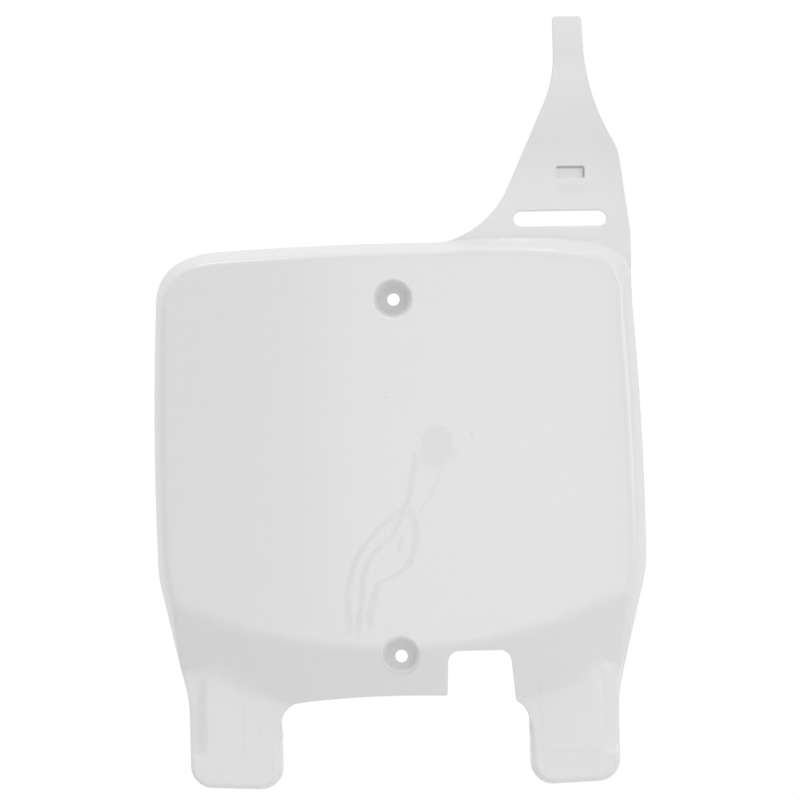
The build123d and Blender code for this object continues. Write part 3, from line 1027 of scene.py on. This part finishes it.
flow = [
    placed(tree, streak, Across=ragged, Along=height, Centre=drawn_centre(height, stations), Half_Width=half,
           Start=stations[0][0] - overrun, End=stations[-1][0] + overrun, Fade=strand_fade)
    for half, stations in strands
]
print(len(flow), "flow strands")

# %% [markdown]
# ### Smaller marks
#
# The ribs behind the face sink a faint line, and the mould's inserts leave their
# outlines on the feet. Below the recess lies a slightly duller band. Painted shade
# darkens the recess's top and right corners, where its walls are shaded, and the
# left foot's flank. The dishes are duller, as eroded steel prints a duller grain,
# and their colour also holds painted shade that darkens the whole dish. Real dents
# would be too shallow to see, so each kind is a mask with a share by which it
# darkens the white. Masks in (x, z) would also show on the back, so a second mask
# keeps those of the face and the strap to the front. Those of the feet and the
# dishes go through to the back.

# %% Where the front is
strap_slack = 0.4
face_back = calc(tree, "DIVIDE", calc(tree, "MULTIPLY", across, across), 2 * face_radius)
on_front = calc(tree, "LESS_THAN", calc(tree, "SUBTRACT", back, face_back), face_y + wall / 2)
sheet_at = strap_depth(*stacked(np.array([recess_x]), np.array([recess_z])), 0)
sheet_lean = [
    calc(tree, "MULTIPLY", calc(tree, "SUBTRACT", place_at, middle), float(slope[0]))
    for place_at, middle, slope in zip((across, height), (recess_x, recess_z), slopes(sheet_at))
]
behind = calc(tree, "SUBTRACT", back, calc(tree, "ADD", sum_of(sheet_lean), float(sheet_at[0, 0])))
on_strap = calc(tree, "LESS_THAN", behind, recess_depth + strap_slack)
print("strap sheet at the recess:", sheet_at[0].round(2))

# %% Sink line, insert lines and painted recess shade
sink = placed(tree, streak, Across=height, Along=calc(tree, "ABSOLUTE", across), Centre=rib_height,
              Half_Width=0.9, Start=rib_start - 1, End=rib_end + 1, Fade=6.0)
insert_sides = (
    (72.0, 1.2, -145, -104, 8), (105.5, 1.2, -145, -97, 8),
    (-83.6, 1.0, -152, -110, 10), (-75.8, 0.8, -150, -112, 10),
    (-106.6, 0.8, -153.5, -148, 1), (-69.0, 1.0, -154, -147, 1),
    (72.8, 0.9, -155, -149, 1), (109.4, 0.9, -153, -147, 1),
)
insert_lines = [
    placed(tree, streak, Across=across, Along=height, Centre=x, Half_Width=half,
           Start=low, End=high, Fade=soft)
    for x, half, low, high, soft in insert_sides
]
toe_line = placed(tree, streak, Across=height, Along=across, Centre=-144.2, Half_Width=1.3,
                  Start=70, End=107, Fade=3)
dull_band = placed(tree, streak, Across=height, Along=across, Centre=150.0, Half_Width=4.0,
                   Start=86.5, End=102, Fade=2)
# Painted shade: a dark line along the recess's top and right inner edges, where its walls are in shade.
recess_shade_top = placed(tree, streak, Across=height, Along=across, Centre=recess_z + 2.7, Half_Width=0.9,
                   Start=recess_x - 7.6, End=recess_x + 7.8, Fade=1.5)
recess_shade_right = placed(tree, streak, Across=across, Along=height, Centre=recess_x + 7.2, Half_Width=0.8,
                     Start=recess_z - 3.2, End=recess_z + 3.2, Fade=1.2)
recess_shade = calc(tree, "MAXIMUM", recess_shade_top, recess_shade_right)
# Painted shade: the left foot's flank is darkened as if it turned away from the light.
flank_shade = placed(tree, streak, Across=across, Along=height, Centre=-105.2, Half_Width=4.0,
                     Start=-146, End=-100, Fade=10)
print(len(insert_lines), "insert marks")

# %% Dull patch, dishes with painted shade, and specks
patch_wander, patch_squash = 14, 0.85
patch = placed(tree, spot, X=calc(tree, "ADD", across, wandering(9, 3, patch_wander)),
               Z=calc(tree, "MULTIPLY", height, patch_squash),
               Centre_X=20.8, Centre_Z=13.2, Core=8.4, Radius=10.4)
# The dish masks darken the colour as painted shade inside both dishes, and they also dull the gloss.
dishes = [
    placed(tree, spot, X=across, Z=height, Centre_X=0, Centre_Z=z, Core=9.4, Radius=10.6)
    for z in bolt_heights
]
speck_places = (
    (39.4, 21.3, 0.3, 0.9), (-4.7, 41.5, 0.3, 0.9), (-48.9, 51.6, 0.1, 0.7),
    (-42.1, 50.9, 0.1, 0.7), (-13.3, 54.5, 0.1, 0.7), (-25.7, -37.8, 0.1, 0.7),
)
specks = [
    placed(tree, spot, X=across, Z=height, Centre_X=x, Centre_Z=z, Core=core, Radius=radius)
    for x, z, core, radius in speck_places
]
print(len(dishes), "dishes,", len(specks), "specks")

# %% [markdown]
# ### Colour and gloss
#
# All marks add up to one share, and the white loses that share. The strands, the
# dull patch and the dishes also roughen the satin a little, because a flow mark is
# duller than the skin round it. A fine noise keeps both from being flat, and a
# finer one, as a bump, is the orange peel that a polished mould still leaves. A mix
# node for every mark would do the same, but a list of marks and shares is easier
# to read and to change.

# %% Colour, gloss and orange peel
base_white, satin = 0.80, 0.17
peel_size, peel_strength, peel_depth = 1.6, 0.05, 0.3


def kept_to(mask, where):
    """A mask that holds only where another one does: their product."""
    return calc(tree, "MULTIPLY", mask, where)


def weighed(marks):
    """Every mask times its share, added up."""
    return sum_of([calc(tree, "MULTIPLY", mask, share) for mask, share in marks])


streams = kept_to(calc(tree, "MINIMUM", sum_of(flow), 1), on_front)
dull = kept_to(patch, on_front)
# Painted shade in the dishes for the colour, and a duller satin for the gloss.
dish_dullness_and_shade = sum_of(dishes)
loss = weighed([
    (streams, 0.050),
    (dull, 0.03),
    (kept_to(sink, on_front), 0.016),
    (sum_of(insert_lines), 0.022),
    (toe_line, 0.018),
    (kept_to(dull_band, on_strap), 0.035),
    # Painted shade in the recess's top and right corners.
    (kept_to(recess_shade, on_strap), 0.38),
    # Painted shade on the left foot's flank.
    (flank_shade, 0.05),
    # Painted shade in both dishes.
    (dish_dullness_and_shade, 0.10),
    (kept_to(sum_of(specks), on_front), 0.12),
    (calc(tree, "SUBTRACT", grain_noise(5, 4), 0.5), 0.022),
])
gloss_loss = weighed([(streams, 0.08), (dull, 0.12), (dish_dullness_and_shade, 0.2), (grain_noise(12, 2), 0.06)])
tone = calc(tree, "MULTIPLY", calc(tree, "SUBTRACT", 1, loss), base_white)
tree.links.new(tone, shader.inputs["Base Color"])
tree.links.new(calc(tree, "ADD", gloss_loss, satin), shader.inputs["Roughness"])
peel = tree.nodes.new("ShaderNodeBump")
peel.inputs["Strength"].default_value = peel_strength
peel.inputs["Distance"].default_value = peel_depth * MM
tree.links.new(grain_noise(peel_size, 2), peel.inputs["Height"])
tree.links.new(peel.outputs[0], shader.inputs["Normal"])
for piece in (board, ribs):
    piece.data.materials.append(plastic)
print("white", base_white, "satin", satin)

# %% [markdown]
# ## Stage and light
#
# The board floats in front of white, as for a catalogue. The world is pure white
# for what the camera and reflections see. As light it is a soft grey that is
# brighter from above, because an even sky would leave the feet and dishes flat.

# %% World
soft_level, lift_above = 0.472, 0.65
scene = bpy.context.scene
scene.view_settings.view_transform = "Standard"
world = bpy.data.worlds.new("studio")
scene.world = world
world.use_nodes = True
sky = world.node_tree
light_path = sky.nodes.new("ShaderNodeLightPath").outputs
mirrored = calc(sky, "MAXIMUM", light_path["Is Glossy Ray"], light_path["Is Transmission Ray"])
seen = calc(sky, "MAXIMUM", light_path["Is Camera Ray"], mirrored)
glow = sky.nodes["Background"].inputs
glow["Color"].default_value = (1, 1, 1, 1)
facing = sky.nodes.new("ShaderNodeSeparateXYZ")
sky.links.new(sky.nodes.new("ShaderNodeTexCoord").outputs["Generated"], facing.inputs[0])
from_above = calc(sky, "MULTIPLY", facing.outputs["Z"], lift_above)
soft = calc(sky, "MULTIPLY", calc(sky, "ADD", from_above, 1), soft_level)
hidden = calc(sky, "MULTIPLY", calc(sky, "SUBTRACT", 1, seen), soft)
sky.links.new(calc(sky, "ADD", seen, hidden), glow["Strength"])
print("sky level", soft_level, "with", lift_above, "more from above")

# %% [markdown]
# Four rectangular lamps shape the form. A broad one stands to the right,
# slightly above, and gives the face its slow gradient. A weaker one in front
# fills the shade. Two soft boxes hang above the left and the right half, and
# they draw the bright line along the rolled top edge. A sun lamp would give hard
# shadows, which a plain studio has not.

# %% Lamps
def soft_lamp(name, spot_at, aim, width, length, watts):
    """A rectangular lamp at a place in metres, turned to look at its aim."""
    lamp = bpy.data.lights.new(name, "AREA")
    lamp.shape, lamp.size, lamp.size_y, lamp.energy = "RECTANGLE", width, length, watts
    holder = bpy.data.objects.new(name, lamp)
    scene.collection.objects.link(holder)
    turn = (Vector(aim) - Vector(spot_at)).to_track_quat("-Z", "Y")
    holder.matrix_world = Matrix.Translation(spot_at) @ turn.to_matrix().to_4x4()
    return holder


face_aim, top_aim = (0, 0, 0.03), (0, 0, 0.05)
soft_lamp("side_box", (2.72, -0.99, 0.78), face_aim, 1.6, 1.6, 17.5)
soft_lamp("front_box", (0.3, -2.75, 0.2), face_aim, 1.6, 1.0, 6.2)
soft_lamp("left_box", (-0.9, -0.8, 2.1), top_aim, 0.9, 0.7, 11.5)
soft_lamp("right_box", (0.46, -0.8, 2.2), top_aim, 0.3, 0.8, 3.5)
print("lamps:", [lamp.name for lamp in bpy.data.lights])

# %% [markdown]
# The floor is a pale square well below the board. A curved backdrop would do as
# well, but the sky is already white, so a plain square is enough. It belongs to
# the stage and not to the part.

# %% Floor
floor_level, floor_reach, floor_grey = -0.42, 1.5, 0.9
corner_x = floor_reach * np.array([-1, 1, 1, -1])
corner_y = floor_reach * np.array([-1, -1, 1, 1])
floor_points = np.stack([corner_x, corner_y, np.full(4, floor_level)], 1) / MM
floor = mesh_piece("floor", floor_points, [[0, 1, 2, 3]])
pale = bpy.data.materials.new("pale_floor")
pale.use_nodes = True
matt = pale.node_tree.nodes["Principled BSDF"].inputs
matt["Base Color"].default_value = (floor_grey, floor_grey, floor_grey, 1)
matt["Roughness"].default_value = 0.9
floor.data.materials.append(pale)
print("floor", 2 * floor_reach, "m wide")

# %% [markdown]
# ## Camera
#
# The board is seen almost square on. Yaw, pitch and tilt are a few degrees each.
# A Track To constraint could aim the camera but not tilt it, so its three axes
# are worked out and put into one matrix.

# %% Camera
yaw, pitch, tilt = radians(1.91), radians(-3.08), radians(-1.30)
distance, target = 1.2, Vector((0.00219, 0, 0.0403))
sensor_width, lens = 36, 103.2
ahead = Vector((-sin(yaw) * cos(pitch), cos(yaw) * cos(pitch), -sin(pitch)))
right = Vector((cos(yaw), sin(yaw), 0))
up = right.cross(ahead)
turned_right = right * cos(tilt) + up * sin(tilt)
turned_up = up * cos(tilt) - right * sin(tilt)
camera = bpy.data.objects.new("camera", bpy.data.cameras.new("camera"))
scene.collection.objects.link(camera)
camera.data.sensor_width = sensor_width
camera.data.lens = lens
axes = Matrix((turned_right, turned_up, -ahead)).transposed().to_4x4()
camera.matrix_world = Matrix.Translation(target - ahead * distance) @ axes
scene.camera = camera
print("camera", distance, "m away, lens", lens, "mm")
